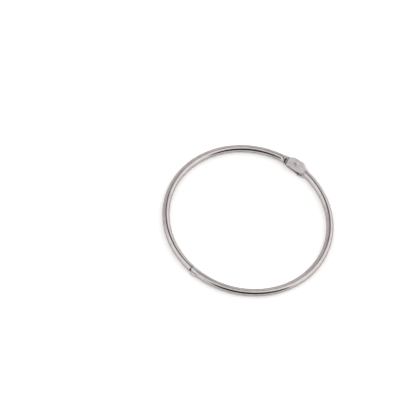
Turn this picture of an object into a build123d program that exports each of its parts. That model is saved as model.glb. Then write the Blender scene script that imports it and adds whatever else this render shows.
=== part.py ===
from build123d import *
import os
from math import asin, cos, degrees, radians, sin, sqrt

# A hinged binder ring: two halves of round wire, each coined flat at both ends.
# At the hinge the flats lie on each other as lugs, held by one rivet.
# At the opening the flats lap as a nose over a spoon.
# Millimetres. The ring lies flat, its centre over the origin and its wire on z = 0,
# with the hinge at +Y and the opening at -Y.

# Driving dimensions: the ring
ring_bore = 75.0                # clear diameter inside the closed ring
wire_diameter = 3.3             # round wire of both halves

# Driving dimensions: the hinge, measured from the rivet's centre
lug_width = 5.7                 # coined flat, wider than the wire it came from
lug_sink = 0.12                 # lug face below the crown of the wire
lug_gap = 0.06                  # between the two lugs
lug_straight = 3.1              # lug keeps its full width this far past the rivet
lug_run_out = 6.1               # lug has narrowed to the wire here
lug_edge_round = 0.18           # soft edge round the lug's face
lug_turn = 4.0                  # degrees that each lug is turned inward from the ring's line
stop_distance = 4.7             # rivet to the shoulder that the other lug stops on
stop_gap = 0.05                 # lug end to shoulder when the ring is closed
relief_start = 20.0             # degrees of lug end past the stop before the corner is cut
relief_length = 1.9             # corner cut back along the lug's outer edge
collar_length = 0.65            # bead of metal pushed up at the shoulder
collar_crown = 1.9              # half width of the collar's flat top
groove_length = 0.6             # pinch behind the collar
groove_depth = 0.4
groove_seat = 0.1               # the pinched metal runs this far into the flare
flare_length = 1.7              # wire widens to the collar over this length
flare_width = 5.0

# Driving dimensions: the rivet
rivet_shank = 1.9
rivet_clearance = 0.05          # radial, in the half that turns
rivet_head = 2.7
rivet_head_gap = 0.05           # under the formed head
rivet_rim = 0.08                # upright edge of the formed head
rivet_dome = 0.24
rivet_sink_angle = 45.0         # of the countersunk head at the back
stake_count = 3                 # chisel marks that spread the formed head
stake_depth = 0.16
stake_length = 0.85
stake_inset = 0.2               # each mark starts this far from the rivet's centre
stake_spread = 38.0             # degrees from mark to mark
stake_heading = -75.0           # direction of the middle mark

# Driving dimensions: the opening, measured along the wire
lap_gap = 0.12                  # between the two flats of the lap
lap_length = 4.4                # spoon from its root to its tip
lap_offset = 2.7                # middle of the lap from the point opposite the rivet
end_gap = 0.27                  # each end to the shoulder it faces
nose_outer = 1.28               # nose from the wire's centre line, outer side
nose_inner = 1.5                # and inner side
nose_round = 1.0                # plan radius of the nose's corners
nose_ramp = 1.2                 # wire narrows to the nose over this length
spoon_outer = 2.1               # spoon from the wire's centre line, outer side
spoon_inner = 1.85              # and inner side
spoon_thickness = 1.15
spoon_crown = 1.2               # half width of the flat under the spoon
spoon_flare = 1.6               # wire widens to the spoon over this length
spoon_round = 1.7               # plan radius of the spoon's corners
detent_radius = 0.7             # pip under the nose and its dimple in the spoon
detent_height = 0.1

# Driving dimension: coined forms that grow out of the wire start this far under its skin
seat_depth = 0.15

# Worked out from the driving dimensions
wire_radius = wire_diameter / 2
seat_radius = wire_radius - seat_depth
seat_crown = seat_depth * 2     # half width of the flat on such a start
ring_radius = ring_bore / 2 + wire_radius
hinge = Vector(0, ring_radius, wire_radius)
lug_run = Vector(cos(radians(lug_turn)), sin(radians(lug_turn)))
lug_out = Vector(-sin(radians(lug_turn)), cos(radians(lug_turn)))
lug_top = wire_radius - lug_sink
lug_bottom = lug_gap / 2
lap_bottom = lap_gap / 2
sink_tan = sin(radians(rivet_sink_angle)) / cos(radians(rivet_sink_angle))
sink_depth = (rivet_head - rivet_shank) / 2 / sink_tan


def along(length):
    """Degrees round the ring for a length of wire."""
    return degrees(length / ring_radius)


# Stations are degrees round the ring from the rivet.
# Both halves are made with their coined ends in the upper half of the wire,
# running clockwise from the rivet, and one is then turned over.
shoulder = degrees(asin(stop_distance / ring_radius))
collar_end = shoulder + along(collar_length)
groove_end = collar_end + along(groove_length)
flare_end = groove_end + along(flare_length)
run_out = degrees(asin(lug_run_out / ring_radius))
spoon_root = 180 - along(lap_offset + lap_length / 2 + end_gap / 2)
spoon_tip = spoon_root + along(lap_length)
nose_root = 360 - (spoon_tip + along(end_gap))
nose_tip = 360 - (spoon_root + along(end_gap))


def wire_plane(station, up=1):
    """Plane across the wire: x outward, y towards the upper (1) or lower (-1) side."""
    out = Vector(sin(radians(station)), cos(radians(station)), 0)
    centre = out * ring_radius + Vector(0, 0, wire_radius)
    return Plane(origin=centre, x_dir=out, z_dir=out.cross(Vector(0, 0, up)))


def coined_section(plane, half_width, crown, height, base=0.0, shift=0.0):
    """Half of a flattened wire: straight base, bulged sides and a flat crown."""
    bulge = (half_width - crown, height - base)
    with BuildSketch(plane) as section:
        with BuildLine():
            right = EllipticalCenterArc((shift + crown, base), *bulge, 0, arc_size=90)
            left = EllipticalCenterArc((shift - crown, base), *bulge, 90, arc_size=90)
            Line(right @ 1, left @ 0)
            Line(left @ 1, right @ 0)
        make_face()
    return section.sketch


def lug_section(plane):
    """Across the lug: flat, with its upper edges rounded."""
    side = lug_width / 2
    flat = side - lug_edge_round
    low = lug_top - lug_edge_round
    with BuildSketch(plane) as section:
        with BuildLine():
            Line((side, lug_bottom), (side, low))
            CenterArc((flat, low), lug_edge_round, 0, 90)
            Line((flat, lug_top), (-flat, lug_top))
            CenterArc((-flat, low), lug_edge_round, 90, 90)
            Polyline((-side, low), (-side, lug_bottom), (side, lug_bottom))
        make_face()
    return section.sketch


def run_out_section(plane):
    """Upper half of the wire with its crown cut flat, in as many edges as the lug."""
    high = degrees(asin(lug_top / wire_radius))
    side = high / 3
    base = sqrt(wire_radius**2 - lug_bottom**2)
    with BuildSketch(plane) as section:
        with BuildLine():
            right = CenterArc((0, 0), wire_radius, side, high - side)
            left = CenterArc((0, 0), wire_radius, 180 - high, high - side)
            Line(right @ 1, left @ 0)
            Polyline(left @ 1, (-base, lug_bottom), (base, lug_bottom), right @ 0)
        make_face()
    return section.sketch


def wire_arc(start, end):
    """Round wire from one station to another."""
    with BuildPart() as arc:
        with BuildSketch(wire_plane(start)):
            Circle(wire_radius)
        revolve(axis=Axis.Z, revolution_arc=start - end)
    return arc.part


def lug_plate():
    """Flat lug round the rivet, with the end that stops on the other half's shoulder."""
    stop_reach = ring_radius * sin(radians(shoulder)) - stop_gap
    half = lug_width / 2
    turn = radians(shoulder)
    foot = Vector(-stop_reach * cos(turn), -stop_reach * sin(turn))
    inward = Vector(sin(turn), -cos(turn))
    inner_corner = foot + inward * ((-half - foot.dot(lug_out)) / inward.dot(lug_out))
    with BuildPart() as plate:
        with BuildSketch(Plane(hinge + Vector(0, 0, lug_bottom))):
            with BuildLine():
                end = CenterArc((0, 0), stop_reach, 180 + shoulder, -relief_start)
                relief_end = lug_run * ((end @ 1).dot(lug_run) + relief_length) + lug_out * half
                Line(inner_corner, end @ 0)
                Line(end @ 1, relief_end)
                straight_end = lug_run * lug_straight
                Polyline(
                    relief_end,
                    straight_end + lug_out * half,
                    straight_end - lug_out * half,
                    inner_corner,
                )
            make_face()
        extrude(amount=lug_top - lug_bottom)
        rim = plate.faces().sort_by(Axis.Z)[-1].edges().sort_by(Axis.X)[:-1]
        fillet(rim, lug_edge_round)
    return plate.part


def lug_neck():
    """Lug narrowing into the upper half of the wire, its face running out on the crown."""
    lug_plane = Plane(origin=hinge + lug_run * lug_straight, x_dir=lug_out, z_dir=lug_run)
    with BuildPart() as neck:
        loft([lug_section(lug_plane), run_out_section(wire_plane(run_out))], ruled=True)
    return neck.part


def collar():
    """Bead, pinch and flare in the lower half of the wire, behind the shoulder."""
    half = lug_width / 2
    depth = wire_radius - lug_edge_round / 2
    bead = coined_section(wire_plane(shoulder, -1), half, collar_crown, depth)
    pinched = collar_crown - groove_depth
    pinch = coined_section(
        wire_plane(shoulder, -1), half - groove_depth, pinched, depth - groove_depth
    )
    wide = coined_section(wire_plane(groove_end, -1), flare_width / 2, pinched, depth)
    narrow = coined_section(wire_plane(flare_end, -1), seat_radius, seat_crown, seat_radius)
    with BuildPart() as bulge:
        extrude(bead, amount=-collar_length)
        extrude(pinch, amount=-(collar_length + groove_length + groove_seat))
        loft([wide, narrow], ruled=True)
    return bulge.part


def half_blank(end_station):
    """One half with its hinge end, the wire left whole up to a station."""
    with BuildPart() as blank:
        add(wire_arc(run_out, end_station))
        add(collar())
        add(lug_plate())
        add(lug_neck())
    return blank.part


def lap_outline(root, tip, ramp, inner, outer, corner, height):
    """Plan of a coined end, from the wire's width at its root to its rounded tip."""
    def at(station, offset):
        reach = ring_radius + offset
        return Vector(reach * sin(radians(station)), reach * cos(radians(station)))

    with BuildPart() as slab:
        with BuildSketch(Plane.XY.offset(wire_radius + lap_bottom)):
            with BuildLine():
                middle = (root + ramp + tip) / 2
                Line(at(root, -wire_radius), at(root, wire_radius))
                Line(at(root, wire_radius), at(root + ramp, outer))
                ThreePointArc(at(root + ramp, outer), at(middle, outer), at(tip, outer))
                Line(at(tip, outer), at(tip, -inner))
                ThreePointArc(at(tip, -inner), at(middle, -inner), at(root + ramp, -inner))
                Line(at(root + ramp, -inner), at(root, -wire_radius))
            plan = make_face()
            tip_corners = plan.vertices().sort_by_distance(at(tip, (outer - inner) / 2))[:2]
            fillet(tip_corners, corner)
        extrude(amount=height)
    return slab.part


def detent(station, side):
    """Shallow lens on the lap's flat, upwards (1) or downwards (-1)."""
    flat = wire_plane(station).origin + Vector(0, 0, lap_bottom)
    ball_radius = (detent_radius**2 + detent_height**2) / (2 * detent_height)
    with BuildPart() as lens:
        with Locations(flat + Vector(0, 0, side * (detent_height - ball_radius))):
            Sphere(ball_radius)
        split(bisect_by=Plane(flat), keep=Keep.TOP if side > 0 else Keep.BOTTOM)
    return lens.part


def nose():
    """Upper half of the wire, narrowed and rounded, that laps over the spoon."""
    outline = lap_outline(
        nose_root, nose_tip, along(nose_ramp), nose_inner, nose_outer, nose_round, wire_radius
    )
    with BuildPart() as end:
        add(wire_arc(nose_root, nose_tip))
        add(outline, mode=Mode.INTERSECT)
        add(detent((nose_root + nose_tip) / 2, -1))
    return end.part


def spoon():
    """Wire coined thin and wide, that the nose laps over."""
    full = spoon_root + along(spoon_flare)
    half = (spoon_outer + spoon_inner) / 2
    shift = (spoon_outer - spoon_inner) / 2
    top = lap_bottom + spoon_thickness
    start = coined_section(
        wire_plane(spoon_root), seat_radius, seat_crown, seat_radius, lap_bottom
    )
    wide = coined_section(wire_plane(full), half, spoon_crown, top, lap_bottom, shift)
    outline = lap_outline(
        spoon_root, spoon_tip, along(spoon_flare), spoon_inner, spoon_outer, spoon_round, top
    )
    with BuildPart() as end:
        loft([start, wide], ruled=True)
        add(wide)
        revolve(axis=Axis.Z, revolution_arc=full - spoon_tip)
        add(outline, mode=Mode.INTERSECT)
        add(detent((spoon_root + spoon_tip) / 2, 1), mode=Mode.SUBTRACT)
    return end.part


# Rivet: countersunk at the back, headed over the upper lug and spread with a chisel
shank_radius = rivet_shank / 2
head_radius = rivet_head / 2
head_base = wire_radius + lug_top + rivet_head_gap
head_top = head_base + rivet_rim + rivet_dome
with BuildPart() as hinge_rivet:
    with BuildSketch(Plane((0, ring_radius, 0), x_dir=(1, 0, 0), z_dir=(0, -1, 0))):
        with BuildLine():
            Polyline(
                (0, 0),
                (head_radius, 0),
                (head_radius, lug_sink),
                (shank_radius, lug_sink + sink_depth),
                (shank_radius, head_base),
                (head_radius, head_base),
                (head_radius, head_base + rivet_rim),
            )
            TangentArc((0, head_top), (head_radius, head_base + rivet_rim), tangent=(1, 0))
            Line((0, head_top), (0, 0))
        make_face()
    revolve(axis=Axis((0, ring_radius, 0), (0, 0, 1)))
    for stroke in range(stake_count):
        heading = radians(stake_heading + (stroke - (stake_count - 1) / 2) * stake_spread)
        run = Vector(cos(heading), sin(heading), 0)
        start = Vector(0, ring_radius, head_top) + run * stake_inset
        with BuildSketch(Plane(start, x_dir=Vector(0, 0, 1).cross(run), z_dir=run)):
            with BuildLine():
                Polyline(
                    (-stake_depth, 0), (0, -stake_depth), (stake_depth, 0), close=True
                )
            make_face()
        extrude(amount=stake_length, mode=Mode.SUBTRACT)
hinge_rivet.part.label = "hinge_rivet"

# Right half: upper lug and nose, free to turn on the rivet
with BuildPart() as right_half_ring:
    add(half_blank(nose_root))
    add(nose())
    with Locations(hinge):
        Cylinder(shank_radius + rivet_clearance, wire_diameter * 2, mode=Mode.SUBTRACT)
right_half_ring.part.label = "right_half_ring"

# Left half: the same hinge end turned over, with the spoon, held fast by the rivet
with BuildPart() as left_upper:
    add(half_blank(spoon_root))
    add(spoon())
with BuildPart() as left_half_ring:
    add(left_upper.part.rotate(Axis((0, 0, wire_radius), (0, 1, 0)), 180))
    add(hinge_rivet.part, mode=Mode.SUBTRACT)
left_half_ring.part.label = "left_half_ring"

os.makedirs("parts", exist_ok=True)
export_step(left_half_ring.part, "parts/left_half_ring.step")
export_step(right_half_ring.part, "parts/right_half_ring.step")
export_step(hinge_rivet.part, "parts/hinge_rivet.step")
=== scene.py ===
from math import asin, cos, degrees, pi, radians, sin, sqrt
import bpy
import bmesh
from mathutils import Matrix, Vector


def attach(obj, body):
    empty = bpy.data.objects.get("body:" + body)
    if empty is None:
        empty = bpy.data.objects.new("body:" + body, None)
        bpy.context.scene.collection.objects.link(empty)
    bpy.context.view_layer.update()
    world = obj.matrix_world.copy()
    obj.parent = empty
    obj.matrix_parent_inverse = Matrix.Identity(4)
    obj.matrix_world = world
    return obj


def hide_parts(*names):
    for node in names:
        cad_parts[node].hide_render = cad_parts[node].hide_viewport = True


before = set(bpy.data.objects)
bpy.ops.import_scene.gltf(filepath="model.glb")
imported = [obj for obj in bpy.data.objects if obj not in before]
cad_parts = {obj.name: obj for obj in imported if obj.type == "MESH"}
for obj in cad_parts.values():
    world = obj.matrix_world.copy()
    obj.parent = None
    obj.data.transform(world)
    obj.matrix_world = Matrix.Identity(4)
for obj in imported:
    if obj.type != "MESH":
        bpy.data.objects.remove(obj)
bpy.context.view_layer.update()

# A hinged binder ring lying flat: hinge at +Y, opening at -Y, centre over the origin.
# Lengths in the dictionaries are millimetres; at() and hingePoint() turn them into metres.
# Stations are degrees round the ring, clockwise from the rivet. Across is outward from the
# wire's centre line, and up is counted from the wire's middle.
mm = 0.001
tiny = 1e-6             # millimetres, when heights are compared
scene = bpy.context.scene

ring = {
    "bore": 75.0,           # clear diameter inside the ring
    "wire": 3.3,            # wire diameter
    "around": 64,           # points round a section, upper and lower halves alike
    "cornerSteps": 5,       # steps round each soft corner of a lug
    "bulgeSteps": 12,       # steps round each bulged side of the collar and the spoon
    "degreesPerStep": 1.2,  # spacing of sections along the plain wire
    "seam": 0.001,          # points nearer than this close the wire's tube
    "joint": 0.002,         # points nearer than this join it to the formed ends
    "sharpFrom": 38.0,      # degrees between faces that make a sharp edge
}
wireR = ring["wire"] / 2
ringR = ring["bore"] / 2 + wireR
halfAround = ring["around"] // 2
upper = range(halfAround + 1)
lower = range(halfAround + 1, ring["around"])

# loops that round an edge: set in and kept low by these shares of its radius
roundedEdge = ((0.0, 1.0), (0.3, 0.3), (1.0, 0.0))


def stationOf(length):
    return degrees(length / ringR)


# a point in metres: out from the wire's centre line, up from the wire's middle
def at(station, out, up):
    a = radians(station)
    reach = ringR + out
    return Vector((reach * sin(a), reach * cos(a), wireR + up)) * mm


# sections, as points (across, up)

def lerp(a, b, t):
    return a + (b - a) * t


def smooth(t):
    t = min(max(t, 0.0), 1.0)
    return t * t * (3 - 2 * t)


def mix(one, two, t):
    return [(lerp(a[0], b[0], t), lerp(a[1], b[1], t)) for a, b in zip(one, two)]


# the round wire, upper then lower half; a cut below its crown makes it flat there
def wirePoints(cut=wireR):
    points = []
    for k in range(ring["around"]):
        turn = 2 * pi * k / ring["around"]
        points.append((wireR * cos(turn), min(wireR * sin(turn), cut)))
    return points


# upper half of a lug, outer to inner: sides, rounded corners and a flat top
def upperFlat(half, base, top, corner):
    steps = ring["cornerSteps"]
    side = [(half, base), (half, (base + top - corner) / 2), (half, top - corner)]
    for step in range(1, steps + 1):
        turn = pi / 2 * step / steps
        side.append((half - corner * (1 - cos(turn)), top - corner * (1 - sin(turn))))
    flat, flatSteps = half - corner, len(upper) + 1 - 2 * len(side)
    face = [(lerp(flat, -flat, step / flatSteps), top) for step in range(1, flatSteps)]
    return side + face + [(-across, up) for across, up in reversed(side)]


# so many points over bulged sides and a flat crown, outer to inner
def bulged(half, crown, height, count):
    steps = ring["bulgeSteps"]
    side = []
    for step in range(steps + 1):
        turn = pi / 2 * step / steps
        side.append((crown + (half - crown) * cos(turn), height * sin(turn)))
    flatSteps = count + 1 - 2 * len(side)
    face = [(lerp(crown, -crown, step / flatSteps), height) for step in range(1, flatSteps)]
    return side + face + [(-across, up) for across, up in reversed(side)]


# the flat underside of a section, inner to outer
def baseLine(outer, inner, base):
    return [(lerp(-inner, outer, step / halfAround), base) for step in range(1, halfAround)]


# a skin grown loop by loop, whose points hold how coined they are and how much painted shade they
# carry
class Skin:

    def __init__(self):
        self.mesh = bmesh.new()
        self.coined = self.mesh.verts.layers.float.new("coined")
        self.paintedShade = self.mesh.verts.layers.float.new("paintedShade")

    # the next loop, which may share points with the one before, and the faces between them
    def grow(self, before, points, coined=0.0, paintedShade=(), shared=()):
        loop = []
        for k, point in enumerate(points):
            if k in shared:
                loop.append(before[k])
                continue
            vert = self.mesh.verts.new(point)
            vert[self.coined] = coined
            if paintedShade:
                vert[self.paintedShade] = paintedShade[k]
            loop.append(vert)
        if before:
            for k in range(len(loop)):
                after = (k + 1) % len(loop)
                self.face(before[k], before[after], loop[after], loop[k])
        return loop

    def face(self, *verts):
        corners = []
        for vert in verts:
            if vert not in corners:
                corners.append(vert)
        if len(corners) > 2:
            self.mesh.faces.new(corners)

    # closes a coined end: its upper points against those of its underside
    def cap(self, loop):
        for k in range(halfAround):
            low, lowAfter = -k % len(loop), len(loop) - k - 1
            self.face(loop[k], loop[k + 1], loop[lowAfter], loop[low])


# hinge end

lug = {
    "width": 5.7,
    "top": 1.53,            # face above the wire's middle, a little under the crown
    "bottom": 0.03,         # half of the gap between the two lugs
    "corner": 0.18,         # soft edge round the face
    "straight": 3.1,        # full width this far past the rivet
    "runOut": 6.5,          # narrowed to the wire here
    "fade": 1.5,            # the flat dies out on the wire's crown over this length
    "turn": 4.0,            # degrees that each lug is turned inward from the ring's line
    "stop": 4.7,            # rivet to the shoulder
    "stopGap": 0.05,
    "reliefStart": 20.0,    # degrees of lug end past the stop before the corner is cut
    "reliefLength": 1.9,
    "slant": 0.12,          # the end runs back this much per millimetre towards the inner side
    "undercutHeight": {"rightHalf": 1.05, "leftHalf": 0.2},  # beneath the inner lip, at the end
    "undercutWidth": 1.1,
    "undercutLength": 4.6,
    "undercutFade": 1.6,    # above 1 it stays high near the end
    "seamShade": 0.9,       # painted shade between the lugs
    "satinPast": 0.3,       # the coined finish goes on this far into the fade
    # where loops stand: in shares of the face's length, then of the way to the shoulder
    "faceLoops": (0.1, 0.25, 0.4, 0.55, 0.7, 0.85, 1.0),
    "neckLoops": (0.35, 0.7, 1.0),
}
collar = {
    "length": 0.4,          # bead pushed up at the shoulder
    "round": 0.12,
    "crown": 1.9,           # half width of its flat top
    "grooveLength": 0.5,
    "grooveDepth": 0.95,
    "grooveStart": 0.9,     # the groove runs out here, outward from the wire's middle
    "grooveFull": -0.5,
    "flareLength": 1.9,
    "flareWidth": 5.0,
    "outer": 1.9,           # the outer side is dressed down almost to the wire
    "runOn": 0.4,           # whole wire past the flare
    # where loops stand: over the bead's front and back in shares of its round, up the groove's
    # wall in shares of two rounds, and along the flare in shares of its length
    "frontLoops": (0.1, 0.3, 0.6, 1.0),
    "backLoops": (-1.0, -0.6, -0.3, 0.0, 0.3, 0.6, 1.0),
    "wallLoops": (0.2, 0.4, 0.6, 0.8, 1.0),
    "flareLoops": (0.3, 0.4, 0.5, 0.6, 0.7, 0.8, 0.9, 1.0),
}
shoulder = degrees(asin(lug["stop"] / ringR))
runOut = degrees(asin(lug["runOut"] / ringR))
lugTurn = radians(lug["turn"])


# a point by its distances from the rivet along and across the turned lug
def hingePoint(along, across, up):
    return Vector((along * cos(lugTurn) - across * sin(lugTurn),
                   ringR + along * sin(lugTurn) + across * cos(lugTurn), wireR + up)) * mm


# where the lug ends along its own turned line, for a distance across it, outer side positive
def lugEnd(across):
    reach = lug["stop"] - lug["stopGap"]
    half = lug["width"] / 2
    lean = radians(shoulder) - lugTurn
    foot = (-reach * cos(lean), -reach * sin(lean))
    last = radians(180 + shoulder - lug["reliefStart"]) - lugTurn
    lip = (reach * cos(last), reach * sin(last))
    slant = lug["slant"] * max(lip[1] - across, 0.0)
    # along the other half's shoulder, then clear of it round the rivet, then the cut corner
    if across < foot[1]:
        return foot[0] + (foot[1] - across) * sin(lean) / cos(lean) + slant
    if across < lip[1]:
        return -sqrt(reach ** 2 - across ** 2) + slant
    return lerp(lip[0], lip[0] + lug["reliefLength"], (across - lip[1]) / (half - lip[1]))


# raises the underside near the inner lip, this far past the lug's end
def undercut(name, across, up, past):
    fade = 1 - min(past / lug["undercutLength"], 1.0) ** lug["undercutFade"]
    inward = (-across - lug["width"] / 2 + lug["undercutWidth"]) / lug["undercutWidth"]
    lift = lug["undercutHeight"][name] * fade * smooth(inward)
    return max(up, min(lug["bottom"] + lift, lug["top"] - lug["corner"]))


# straight lines from the lug's full section to the wire, cut by the plane of a station
def neckLoop(lugLoop, wireLoop, station):
    plane = Vector((cos(radians(station)), -sin(radians(station)), 0.0))
    points = []
    for one, two in zip(lugLoop, wireLoop):
        a, b = one.dot(plane), two.dot(plane)
        points.append(one.lerp(two, -a / (b - a)))
    return points


# the collar and flare this far past the shoulder, and the painted shade of each point, by how deep
# in its groove it lies
def collarAt(past):
    half = lug["width"] / 2
    depth = wireR - lug["corner"] / 2
    bead, pinch = collar["length"], collar["length"] + collar["grooveLength"]
    soft = collar["round"]
    drop, groove = 0.0, 0.0
    if past < soft:
        drop = soft * (1 - sqrt(1 - (1 - past / soft) ** 2))
    elif past > bead - soft:
        groove = smooth((past - bead + soft) / (2 * soft))
    if past > pinch:
        groove = 1 - smooth((past - pinch) / (2 * soft))
        half = collar["flareWidth"] / 2
    fullAfter = collar["grooveStart"] - collar["grooveFull"]
    points, paintedShade = [], []
    for across, up in bulged(half - drop, collar["crown"] - drop, depth - drop, len(lower)):
        across, up = -across, -up
        cut = groove * (1 - smooth((across - collar["grooveFull"]) / fullAfter))
        if across > 0:
            across = across * collar["outer"] / (lug["width"] / 2)
        reach = sqrt(across ** 2 + up ** 2)
        inward = (reach - cut * collar["grooveDepth"]) / reach
        points.append((across * inward, up * inward))
        # painted shade, deepest at the groove's bottom
        paintedShade.append(cut)
    return points, paintedShade


# the lug from its end to its full width past the rivet
def growLug(skin, name, section, shade):
    loop = None
    for inset, lid in roundedEdge:
        points = []
        for across, up in section:
            along = lugEnd(across)
            if up > lug["bottom"]:
                along += inset * lug["corner"]
            up = min(undercut(name, across, up, 0.0), lug["top"] - lid * lug["corner"])
            points.append(hingePoint(along, across, up))
        if loop is None:
            loop = skin.grow(None, points, 1.0, shade)
            skin.cap(loop)
        else:
            loop = skin.grow(loop, points, 1.0, shade, (0, halfAround, *lower))
    for part in lug["faceLoops"]:
        points = []
        for across, up in section:
            end = lugEnd(across)
            along = lerp(end + lug["corner"], lug["straight"], part)
            points.append(hingePoint(along, across, undercut(name, across, up, along - end)))
        loop = skin.grow(loop, points, 1.0, shade)
    return loop


# from the lug's end to the first of the plain wire; gives the last station
def hingeEnd(skin, name):
    half, base = lug["width"] / 2, lug["bottom"]
    section = upperFlat(half, base, lug["top"], lug["corner"]) + baseLine(half, half, base)
    # the lug's underside, where it lies on the other lug, gets painted shade
    shade = [0.0] * len(upper) + [lug["seamShade"]] * len(lower)
    shade[0] = shade[halfAround] = lug["seamShade"] / 2
    loop = growLug(skin, name, section, shade)

    # the neck narrows to the wire in straight lines, whole as far as the shoulder
    lugLoop = [hingePoint(lug["straight"], *p) for p in section]
    cutWire = [(across, max(up, base)) for across, up in wirePoints(lug["top"])[:len(upper)]]
    wireLoop = [at(runOut, *p) for p in cutWire + baseLine(wireR, wireR, base)]
    atShoulder = neckLoop(lugLoop, wireLoop, shoulder)
    for part in lug["neckLoops"]:
        points = [one.lerp(two, part) for one, two in zip(lugLoop, atShoulder)]
        loop = skin.grow(loop, points, 1.0, shade)

    # past it, the upper half is still neck and the lower half is collar and flare
    soft, bead = collar["round"], collar["length"]
    pinch = bead + collar["grooveLength"]
    flareEnd = pinch + collar["flareLength"]
    fadeStart = (runOut - shoulder) / stationOf(1.0)
    pasts = {0.0, bead / 2, fadeStart, pinch, fadeStart + lug["fade"]}
    pasts |= {soft * part for part in collar["frontLoops"]}
    pasts |= {bead + soft * part for part in collar["backLoops"]}
    pasts |= {pinch + 2 * soft * part for part in collar["wallLoops"]}
    pasts |= {lerp(pinch, flareEnd, part) for part in collar["flareLoops"]}
    pasts.add(flareEnd + collar["runOn"])
    for past in sorted(pasts):
        station = shoulder + stationOf(past)
        if past < fadeStart:
            top = neckLoop(lugLoop, wireLoop, station)[:len(upper)]
        else:
            cut = lerp(lug["top"], wireR, smooth((past - fadeStart) / lug["fade"]))
            top = [at(station, *p) for p in wirePoints(cut)[:len(upper)]]
        below, paintedShade = collarAt(past)
        if past > pinch:
            narrowing = smooth((past - pinch) / collar["flareLength"])
            below = mix(below, wirePoints()[len(upper):], narrowing)
        points = top + [at(station, *p) for p in below]
        coined = 1.0 - smooth(past / (fadeStart + lug["satinPast"]))
        paintedShade = [0.0] * len(upper) + paintedShade
        loop = skin.grow(loop, points, coined, paintedShade, upper if past == 0.0 else ())
    return station


# lap ends at the opening

lap = {
    "bottom": 0.06,         # half of the gap between nose and spoon
    "length": 4.4,
    "offset": 2.7,          # middle of the lap from the point opposite the rivet
    "endGap": 0.27,
    "pip": 0.7,             # radius of the pip under the nose and its dimple
    "pipHeight": 0.1,
    "leastHeight": 0.1,     # the rounded tip's edge stays this far above its underside
    "tipFrom": 0.3,         # the tip begins to round off this share of the way along
    "coined": 0.4,          # how far the die has dulled the plating by the tip
    "dulling": 1.6,         # its rate: at 1 it would be reached only at the very tip
    "lipShade": 0.75,       # painted shade along the spoon's lip, where its face has fallen this far
    "lipWide": 0.42,
    "loops": 22,
}
# half widths outward and inward, the tip's rounding, the length over which the form is reached,
# the soft edge round the tip, and from where the face falls away towards the outer lip, how far
nose = {"outer": 1.28, "inner": 1.5, "round": 1.0, "ramp": 1.2, "edge": 0.12,
        "lipStart": 0.0, "lipDrop": 0.0}
spoon = {"outer": 2.1, "inner": 1.85, "round": 1.7, "ramp": 1.6, "edge": 0.15,
         "lipStart": 0.75, "lipDrop": 0.6, "thickness": 1.15, "crown": 1.2}
spoonRoot = 180 - stationOf(lap["offset"] + lap["length"] / 2 + lap["endGap"] / 2)
spoonTip = spoonRoot + stationOf(lap["length"])
noseRoot = 360 - (spoonTip + stationOf(lap["endGap"]))
noseTip = 360 - (spoonRoot + stationOf(lap["endGap"]))


def noseShape(t):
    outer, inner = lerp(wireR, nose["outer"], t), lerp(wireR, nose["inner"], t)
    points = []
    for across, up in wirePoints()[:len(upper)]:
        points.append((min(max(across, -inner), outer), max(up, lap["bottom"])))
    return points


def spoonShape(t):
    whole = [(across, max(up, lap["bottom"])) for across, up in wirePoints()[:len(upper)]]
    half = (spoon["outer"] + spoon["inner"]) / 2
    shift = (spoon["outer"] - spoon["inner"]) / 2
    formed = []
    for across, up in bulged(half, spoon["crown"], spoon["thickness"], len(upper)):
        formed.append((across + shift, lap["bottom"] + up))
    return mix(whole, formed, t)


# how far the rounded tip falls back at a distance across it
def tipCurve(sizes, across):
    corner = sizes["round"]
    side = sizes["outer"] if across > 0 else sizes["inner"]
    beyond = abs(across) - (side - corner)
    if beyond <= 0:
        return 0.0
    return corner - sqrt(max(corner ** 2 - min(beyond, corner) ** 2, 0.0))


def lipDrop(sizes, across):
    beyond = max(across - sizes["lipStart"], 0.0) / (sizes["outer"] - sizes["lipStart"])
    return sizes["lipDrop"] * beyond ** 2


# how far the pip stands out of the lap's face, or its dimple sinks in, round this station
def pipHeight(station, across, middle):
    away = sqrt(((station - middle) / stationOf(1.0)) ** 2 + across ** 2)
    if away >= lap["pip"]:
        return 0.0
    return lap["pipHeight"] * (1 - (away / lap["pip"]) ** 2)


# one loop this far along the lap: points, and the painted shade along the lip
def lapLoop(root, tip, shape, sizes, part, inset, lid):
    length = (tip - root) / stationOf(1.0)
    formed = smooth(part * length / sizes["ramp"])
    outer, inner = lerp(wireR, sizes["outer"], formed), lerp(wireR, sizes["inner"], formed)
    section = shape(formed) + baseLine(outer, inner, lap["bottom"])
    rounding = smooth((part - lap["tipFrom"]) / (1 - lap["tipFrom"]))
    points, paintedShade = [], []
    for across, up in section:
        reach = part * length - tipCurve(sizes, across) * rounding
        face = lap["bottom"] + lipDrop(sizes, across) * formed
        if up > lap["bottom"] + tiny:
            station = root + stationOf(reach - inset)
            up = max(min(up, max(up - lid, lap["bottom"] + lap["leastHeight"])), face)
        else:
            station = root + stationOf(reach)
            up = face - pipHeight(station, across, (root + tip) / 2)
        points.append(at(station, across, up))
        # painted shade along the outer lip
        onLip = lipDrop(sizes, across) > lap["lipWide"]
        paintedShade.append(lap["lipShade"] * formed if onLip else 0.0)
    return points, paintedShade


# from the last loop of plain wire, over the step to its upper half, to the rounded tip
def lapEnd(skin, loop, root, tip, shape, sizes):
    start = shape(0.0) + baseLine(wireR, wireR, lap["bottom"])
    loop = skin.grow(loop, [at(root, *p) for p in start], 0.0, shared=upper)
    for k in range(1, lap["loops"] + 1):
        part = k / lap["loops"]
        coined = lap["coined"] * smooth(part * lap["dulling"])
        edges = roundedEdge[::-1] if part == 1 else ((0.0, 0.0),)
        for inset, lid in edges:
            shared = (0, halfAround, *lower) if part == 1 and inset < 1 else ()
            points, paintedShade = lapLoop(root, tip, shape, sizes, part,
                                     inset * sizes["edge"], lid * sizes["edge"])
            loop = skin.grow(loop, points, coined, paintedShade, shared)
    skin.cap(loop)


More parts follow.
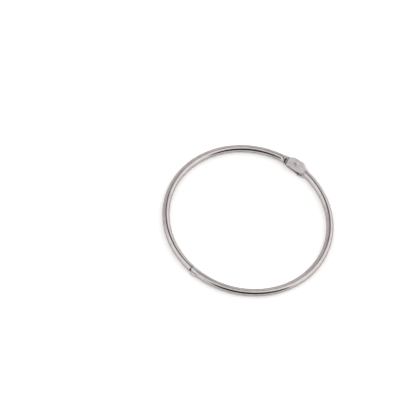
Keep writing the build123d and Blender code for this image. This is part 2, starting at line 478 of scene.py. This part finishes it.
# adds a node; links holds values or output sockets for its inputs
def addNode(tree, kind, settings=None, links=None):
    node = tree.nodes.new(kind)
    for name, value in (settings or {}).items():
        setattr(node, name, value)
    for name, value in (links or {}).items():
        socket = node.inputs[name]
        if isinstance(value, bpy.types.NodeSocket):
            tree.links.new(value, socket)
        else:
            socket.default_value = value
    return node


# the plain wire

# plain round wire along the ring: a grid bent into a tube and round the ring
def wireTree():
    tree = bpy.data.node_groups.new("ringWire", "GeometryNodeTree")
    face = tree.interface
    face.new_socket(name="Geometry", in_out="INPUT", socket_type="NodeSocketGeometry")
    for name, kind in (
            ("Ring radius", "NodeSocketFloat"), ("Wire radius", "NodeSocketFloat"),
            ("Start", "NodeSocketFloat"), ("End", "NodeSocketFloat"),
            ("Steps", "NodeSocketInt"), ("Around", "NodeSocketInt"),
            ("Seam", "NodeSocketFloat"), ("Finish", "NodeSocketMaterial")):
        face.new_socket(name=name, in_out="INPUT", socket_type=kind)
    face.new_socket(name="Geometry", in_out="OUTPUT", socket_type="NodeSocketGeometry")
    given = addNode(tree, "NodeGroupInput").outputs
    rows = addNode(tree, "ShaderNodeMath", {"operation": "ADD"}, {0: given["Steps"], 1: 1.0})
    columns = addNode(tree, "ShaderNodeMath", {"operation": "ADD"}, {0: given["Around"], 1: 1.0})
    grid = addNode(tree, "GeometryNodeMeshGrid", {}, {
        "Size X": 1.0, "Size Y": 1.0,
        "Vertices X": rows.outputs[0], "Vertices Y": columns.outputs[0]})
    place = addNode(tree, "GeometryNodeInputPosition")
    parts = addNode(tree, "ShaderNodeSeparateXYZ", {}, {0: place.outputs[0]})
    along = addNode(tree, "ShaderNodeMapRange", {}, {
        "Value": parts.outputs[0], "From Min": -0.5, "From Max": 0.5,
        "To Min": given["Start"], "To Max": given["End"]})
    around = addNode(tree, "ShaderNodeMapRange", {}, {
        "Value": parts.outputs[1], "From Min": -0.5, "From Max": 0.5,
        "To Min": 0.0, "To Max": 2 * pi})

    values = {
        "along": along.outputs[0], "around": around.outputs[0],
        "ringRadius": given["Ring radius"], "wireRadius": given["Wire radius"]}
    for name, operation, one, two in (
            ("outward", "COSINE", "around", 0.0), ("out", "MULTIPLY", "outward", "wireRadius"),
            ("upward", "SINE", "around", 0.0), ("up", "MULTIPLY", "upward", "wireRadius"),
            ("reach", "ADD", "ringRadius", "out"), ("z", "ADD", "up", "wireRadius"),
            ("aside", "SINE", "along", 0.0), ("x", "MULTIPLY", "reach", "aside"),
            ("ahead", "COSINE", "along", 0.0), ("y", "MULTIPLY", "reach", "ahead")):
        values[name] = addNode(tree, "ShaderNodeMath", {"operation": operation}, {
            0: values[one], 1: values.get(two, two)}).outputs[0]
    spot = addNode(tree, "ShaderNodeCombineXYZ", {}, {
        0: values["x"], 1: values["y"], 2: values["z"]})
    bent = addNode(tree, "GeometryNodeSetPosition", {}, {
        "Geometry": grid.outputs["Mesh"], "Position": spot.outputs[0]})
    closed = addNode(tree, "GeometryNodeMergeByDistance", {}, {
        "Geometry": bent.outputs[0], "Distance": given["Seam"]})
    real = addNode(tree, "GeometryNodeRealizeInstances", {}, {0: closed.outputs[0]})
    plated = addNode(tree, "GeometryNodeSetMaterial", {}, {
        "Geometry": real.outputs[0], "Material": given["Finish"]})
    addNode(tree, "NodeGroupOutput", {}, {0: plated.outputs[0]})
    return tree


# the wire from one station to another as a mesh
def plainWire(tree, start, end, material):
    blank = bpy.data.meshes.new("plainWire")
    holder = bpy.data.objects.new("plainWire", blank)
    scene.collection.objects.link(holder)
    bend = holder.modifiers.new("bend", "NODES")
    bend.node_group = tree
    values = {
        "Ring radius": ringR * mm, "Wire radius": wireR * mm,
        "Start": radians(start), "End": radians(end),
        "Steps": round((end - start) / ring["degreesPerStep"]), "Around": ring["around"],
        "Seam": ring["seam"] * mm, "Finish": material,
    }
    for item in tree.interface.items_tree:
        if item.item_type == "SOCKET" and item.in_out == "INPUT" and item.name in values:
            bend[item.identifier] = values[item.name]
    ready = holder.evaluated_get(bpy.context.evaluated_depsgraph_get())
    mesh = bpy.data.meshes.new_from_object(ready)
    bpy.data.objects.remove(holder)
    bpy.data.meshes.remove(blank)
    return mesh


# joins the formed ends to the plain wire between them, and turns the left half over
def joinWire(skin, wireMesh, turnedOver):
    skin.mesh.from_mesh(wireMesh)
    bpy.data.meshes.remove(wireMesh)
    bmesh.ops.remove_doubles(skin.mesh, verts=skin.mesh.verts, dist=ring["joint"] * mm)
    if turnedOver:
        for vert in skin.mesh.verts:
            vert.co.x = -vert.co.x
            vert.co.z = 2 * wireR * mm - vert.co.z


# a finished skin as an object
def makePiece(skin, name, material):
    bmesh.ops.recalc_face_normals(skin.mesh, faces=skin.mesh.faces)
    openEdges = sum(1 for edge in skin.mesh.edges if len(edge.link_faces) != 2)
    mesh = bpy.data.meshes.new(name)
    skin.mesh.to_mesh(mesh)
    skin.mesh.free()
    mesh.materials.append(material)
    for polygon in mesh.polygons:
        polygon.use_smooth = True
        polygon.material_index = 0    # the plain wire's faces come with the index 1
    mesh.set_sharp_from_angle(angle=radians(ring["sharpFrom"]))
    piece = bpy.data.objects.new(name, mesh)
    scene.collection.objects.link(piece)
    print(name, "faces", len(mesh.polygons), "open edges", openEdges)
    return piece


# rivet

rivet = {
    "shank": 1.9,           # diameters
    "head": 2.7,
    "gap": 0.05,            # between the lug and the head
    "rim": 0.03,            # broken edges of both ends
    "dome": 0.29,
    "fullness": 6.0,        # 2 is a round dome, more has a flatter top and a rounder shoulder
    "sink": 0.12,           # straight part of the flush end before its countersink
    "marks": 3,             # chisel marks that spread the head
    "markDepth": 0.22,
    "markLength": 0.95,
    "markInset": 0.1,       # each starts this far from the middle
    "markSpread": 66.0,     # degrees from mark to mark
    "markHeading": -82.0,   # and of the middle one
    "markEnds": 2.5,        # slope of a mark's two ends
    "seamShade": 0.8,       # painted shade under the head
    "segments": 128,
    "endLoops": 8,
    "domeLoops": 34,
}


# how deep the chisel has gone in at a point of the rivet's head
def markDepth(x, y):
    deepest = 0.0
    middle = (rivet["marks"] - 1) / 2
    for mark in range(rivet["marks"]):
        heading = radians(rivet["markHeading"] + (mark - middle) * rivet["markSpread"])
        run = x * cos(heading) + y * sin(heading) - rivet["markInset"]
        off = abs(-x * sin(heading) + y * cos(heading))
        ends = min(run, rivet["markLength"] - run)
        depth = min(rivet["markDepth"] - off, ends * rivet["markEnds"])
        deepest = max(deepest, depth)
    return deepest


# the rivet, turned from an outline of (reach, height) that runs from its flush end to its head
def makeRivet(material):
    shank, head, rim = rivet["shank"] / 2, rivet["head"] / 2, rivet["rim"]
    headBase = wireR + lug["top"] + rivet["gap"]
    crownLow = headBase + rim
    seamLow = rivet["sink"] + (head - shank)
    outline = [(head * k / rivet["endLoops"], 0.0) for k in range(1, rivet["endLoops"])]
    outline += [(head - rim, 0.0), (head, rim), (head, rivet["sink"]), (shank, seamLow),
                (shank, headBase), (head - rim, headBase), (head, crownLow)]
    for k in range(1, rivet["domeLoops"]):
        reach = head * (1 - k / rivet["domeLoops"])
        rise = rivet["dome"] * (1 - (reach / head) ** rivet["fullness"])
        outline.append((reach, crownLow + rise))

    skin = Skin()
    loops = [None]
    for reach, height in outline:
        points, paintedShade = [], []
        for k in range(rivet["segments"]):
            turn = 2 * pi * k / rivet["segments"]
            x, y = reach * cos(turn), reach * sin(turn)
            mark = markDepth(x, y) if height > crownLow else 0.0
            points.append(Vector((x, ringR + y, height - mark)) * mm)
            # painted shade under the head and in the chisel marks, by their depth
            seam = rivet["seamShade"] if seamLow <= height <= crownLow else 0.0
            paintedShade.append(max(mark / rivet["markDepth"], seam))
        loops.append(skin.grow(loops[-1], points, 1.0, paintedShade))
    crown = crownLow + rivet["dome"] - markDepth(0.0, 0.0)
    for loop, height in ((loops[1], 0.0), (loops[-1], crown)):
        centre = skin.mesh.verts.new(Vector((0.0, ringR, height)) * mm)
        centre[skin.coined] = 1.0
        for k in range(len(loop)):
            skin.face(loop[k], loop[(k + 1) % len(loop)], centre)
    return makePiece(skin, "rivet", material)


# finishes

# sRGB hex to linear
def colour(hexText):
    value = hexText.lstrip("#")
    linear = []
    for k in (0, 2, 4):
        part = int(value[k:k + 2], 16) / 255
        linear.append(part / 12.92 if part <= 0.04045 else ((part + 0.055) / 1.055) ** 2.4)
    return (*linear, 1.0)


plating = {
    "bright": "#B9B3B2",        # bright nickel with a little warmth
    "coined": "#D0CACA",
    "paintedShade": "#2E2A29",        # painted shade: darkens grooves, chisel marks, the lug seam, under the rivet's head and the spoon's lip
    "grazing": "#938D8B",       # reflection near the outline, duller than a perfect mirror's
    "brightRoughness": (0.10, 0.16),
    "coinedRoughness": (0.40, 0.50),
    "drawPitch": 0.16,          # mm between drawing lines, coarser than real so that they show
    "drawStretch": 0.03,        # how much shorter the noise is along them than across
    "grain": 0.22,              # mm, grain of the coined faces, coarser too
    "cloud": 2.6,               # mm, uneven brightness of barrel plating
    "cloudTint": (0.91, 1.05),  # its darkest and brightest
    "bumpHeight": 0.02,         # mm, of the lines and the grain
    "bump": (0.06, 0.25),       # strength on the plain wire and on the coined faces
}


def nickelPlate():
    # Nickel-plated steel wire: drawn, so faint lines run along it under the bright plating and
    # stretch its reflections, and coined at its ends, where the die leaves a satin, grainy face.
    material = bpy.data.materials.new("nickelPlatedSteelWire")
    material.use_nodes = True
    tree = material.node_tree
    tree.nodes.clear()
    place = addNode(tree, "ShaderNodeTexCoord").outputs["Object"]
    parts = addNode(tree, "ShaderNodeSeparateXYZ", {}, {0: place})
    coined = addNode(tree, "ShaderNodeAttribute", {"attribute_name": "coined"}).outputs["Fac"]
    paintedShade = addNode(tree, "ShaderNodeAttribute", {"attribute_name": "paintedShade"}).outputs["Fac"]

    # the drawing lines are noise squeezed across the wire, by turn and distance round the ring
    values = {"x": parts.outputs[0], "y": parts.outputs[1], "z": parts.outputs[2]}
    for name, operation, one, two in (
            ("turn", "ARCTAN2", "x", "y"),
            ("along", "MULTIPLY", "turn", ringR * plating["drawStretch"]),
            ("xx", "MULTIPLY", "x", "x"), ("yy", "MULTIPLY", "y", "y"),
            ("square", "ADD", "xx", "yy"), ("reach", "SQRT", "square", 0.0),
            ("across", "DIVIDE", "reach", mm), ("height", "DIVIDE", "z", mm)):
        values[name] = addNode(tree, "ShaderNodeMath", {"operation": operation}, {
            0: values[one], 1: values.get(two, two)}).outputs[0]
    drawn = addNode(tree, "ShaderNodeCombineXYZ", {}, {
        0: values["along"], 1: values["across"], 2: values["height"]})
    lines = addNode(tree, "ShaderNodeTexNoise", {}, {
        "Vector": drawn.outputs[0], "Scale": 1 / plating["drawPitch"],
        "Detail": 3.0, "Roughness": 0.6})
    clouds = addNode(tree, "ShaderNodeTexNoise", {}, {
        "Vector": place, "Scale": 1 / (plating["cloud"] * mm), "Detail": 2.0})
    grain = addNode(tree, "ShaderNodeTexNoise", {}, {
        "Vector": place, "Scale": 1 / (plating["grain"] * mm),
        "Detail": 4.0, "Roughness": 0.65})

    # colour: the plating's own, darkened by painted shade in grooves and seams, lighter and darker
    # in clouds
    metal = addNode(tree, "ShaderNodeMix", {"data_type": "RGBA"}, {
        0: coined, 6: colour(plating["bright"]), 7: colour(plating["coined"])})
    paintedShadeMix = addNode(tree, "ShaderNodeMix", {"data_type": "RGBA"}, {
        0: paintedShade, 6: metal.outputs[2], 7: colour(plating["paintedShade"])})
    darkest, brightest = plating["cloudTint"]
    tint = addNode(tree, "ShaderNodeMapRange", {}, {
        "Value": clouds.outputs[0], "From Min": 0.3, "From Max": 0.7,
        "To Min": darkest, "To Max": brightest})
    shaded = addNode(tree, "ShaderNodeVectorMath", {"operation": "SCALE"}, {
        0: paintedShadeMix.outputs[2], "Scale": tint.outputs[0]})

    # roughness and bump: drawing lines on the plain wire, grain on the coined faces
    smoothest, roughest = plating["brightRoughness"]
    roughWire = addNode(tree, "ShaderNodeMapRange", {}, {
        "Value": lines.outputs[0], "To Min": smoothest, "To Max": roughest})
    smoothest, roughest = plating["coinedRoughness"]
    roughDie = addNode(tree, "ShaderNodeMapRange", {}, {
        "Value": grain.outputs[0], "To Min": smoothest, "To Max": roughest})
    rough = addNode(tree, "ShaderNodeMix", {"data_type": "FLOAT"}, {
        0: coined, 2: roughWire.outputs[0], 3: roughDie.outputs[0]})
    relief = addNode(tree, "ShaderNodeMix", {"data_type": "FLOAT"}, {
        0: coined, 2: lines.outputs[0], 3: grain.outputs[0]})
    onWire, onDie = plating["bump"]
    strength = addNode(tree, "ShaderNodeMapRange", {}, {
        "Value": coined, "To Min": onWire, "To Max": onDie})
    bump = addNode(tree, "ShaderNodeBump", {}, {
        "Strength": strength.outputs[0], "Distance": plating["bumpHeight"] * mm,
        "Height": relief.outputs[0]})
    shader = addNode(tree, "ShaderNodeBsdfPrincipled", {}, {
        "Base Color": shaded.outputs[0], "Metallic": 1.0, "Roughness": rough.outputs[0],
        "Specular Tint": colour(plating["grazing"]), "Normal": bump.outputs[0]})
    addNode(tree, "ShaderNodeOutputMaterial", {}, {0: shader.outputs[0]})
    return material


# build

nickel = nickelPlate()
print("finish ready")
wireNodes = wireTree()
for name, node, body, turnedOver, root, tip, shape, sizes in (
        ("rightHalf", "right_half_ring", "right_half", False, noseRoot, noseTip, noseShape, nose),
        ("leftHalf", "left_half_ring", "left_half", True, spoonRoot, spoonTip, spoonShape, spoon)):
    skin = Skin()
    start = hingeEnd(skin, name)
    rootLoop = skin.grow(None, [at(root, *p) for p in wirePoints()])
    lapEnd(skin, rootLoop, root, tip, shape, sizes)
    joinWire(skin, plainWire(wireNodes, start, root, nickel), turnedOver)
    half = makePiece(skin, name, nickel)
    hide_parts(node)
    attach(half, body)

pin = makeRivet(nickel)
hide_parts("hinge_rivet")
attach(pin, "left_half")


# floor, camera, light

sweep = {
    "reach": 2.4,           # metres each way
    "paper": "#F7F6F4",
    "roughness": 0.9,
    "glow": 0.22,           # lifts the paper to the near white of a lit sweep
}
floorMesh = bpy.data.meshes.new("floor")
reach = sweep["reach"]
floorMesh.from_pydata(
    [(-reach, -reach, 0), (reach, -reach, 0), (reach, reach, 0), (-reach, reach, 0)],
    [], [(0, 1, 2, 3)])
floor = bpy.data.objects.new("floor", floorMesh)
scene.collection.objects.link(floor)
# uncoated white paper: matt, so it shows the ring's soft shadow and no highlight of its own
paper = bpy.data.materials.new("whitePaperSweep")
paper.use_nodes = True
matt = paper.node_tree.nodes["Principled BSDF"].inputs
matt["Base Color"].default_value = colour(sweep["paper"])
matt["Roughness"].default_value = sweep["roughness"]
matt["Emission Color"].default_value = (1, 1, 1, 1)
matt["Emission Strength"].default_value = sweep["glow"]
floorMesh.materials.append(paper)
print("floor ready")

view = {
    "azimuth": 23.078,      # degrees, round from the front, above the floor, and rolled
    "elevation": 58.77,
    "roll": 15.312,
    "distance": 1575.013,
    "aimRight": -22.496,    # the picture's middle, from the ring's centre on the floor
    "aimUp": 10.083,
    "lens": 300.0,
    "sensor": 36.0,
    "clipEnd": 10.0,        # metres
}
azimuth, elevation, roll = (radians(view[k]) for k in ("azimuth", "elevation", "roll"))
towards = Vector((sin(azimuth) * cos(elevation), -cos(azimuth) * cos(elevation), sin(elevation)))
right = Vector((cos(azimuth), sin(azimuth), 0.0))
upward = towards.cross(right)
rolledRight = cos(roll) * right + sin(roll) * upward
rolledUp = -sin(roll) * right + cos(roll) * upward
aim = view["aimRight"] * rolledRight + view["aimUp"] * rolledUp
camera = bpy.data.objects.new("camera", bpy.data.cameras.new("camera"))
scene.collection.objects.link(camera)
camera.data.lens = view["lens"]
camera.data.sensor_width = view["sensor"]
camera.data.clip_end = view["clipEnd"]
matrix = camera.matrix_world.copy()
for row in range(3):
    matrix[row][0], matrix[row][1], matrix[row][2] = rolledRight[row], rolledUp[row], towards[row]
    matrix[row][3] = (aim[row] + view["distance"] * towards[row]) * mm
camera.matrix_world = matrix
scene.camera = camera
print("camera ready")

# soft boxes and dark flags round the tabletop, laid over one another in this order:
# degrees round from the viewer's side, elevation, radius and soft edge, then brightness
studio = {
    "sky": 1.25,
    "cards": [
        (232, 22, 24, 18, 0.85),
        (185, 20, 12, 18, 0.95),
        (105, 30, 36, 20, 1.5),
        (292, 38, 14, 16, 1.5),
        (160, 60, 5, 12, 0.75),
        (208, 65, 8, 12, 0.08),
        (22, 19, 34, 12, 0.04),
    ],
}
world = bpy.data.worlds.new("studio")
scene.world = world
world.use_nodes = True
tree = world.node_tree
tree.nodes.clear()
direction = addNode(tree, "ShaderNodeTexCoord").outputs["Generated"]
forward = Vector((sin(azimuth), -cos(azimuth), 0.0))
light = studio["sky"]
for turn, height, width, edge, bright in studio["cards"]:
    level = cos(radians(turn)) * forward + sin(radians(turn)) * right
    heading = cos(radians(height)) * level + Vector((0, 0, sin(radians(height))))
    nearness = addNode(tree, "ShaderNodeVectorMath", {"operation": "DOT_PRODUCT"}, {
        0: direction, 1: heading})
    within = addNode(tree, "ShaderNodeMapRange", {"interpolation_type": "SMOOTHSTEP"}, {
        "Value": nearness.outputs["Value"],
        "From Min": cos(radians(width + edge)), "From Max": cos(radians(width))})
    layered = addNode(tree, "ShaderNodeMix", {"data_type": "FLOAT"}, {
        0: within.outputs[0], 2: light, 3: bright})
    light = layered.outputs[0]
glow = addNode(tree, "ShaderNodeBackground", {}, {"Color": (1, 1, 1, 1), "Strength": light})
addNode(tree, "ShaderNodeOutputWorld", {}, {0: glow.outputs[0]})
scene.view_settings.view_transform = "Standard"
print("light ready")
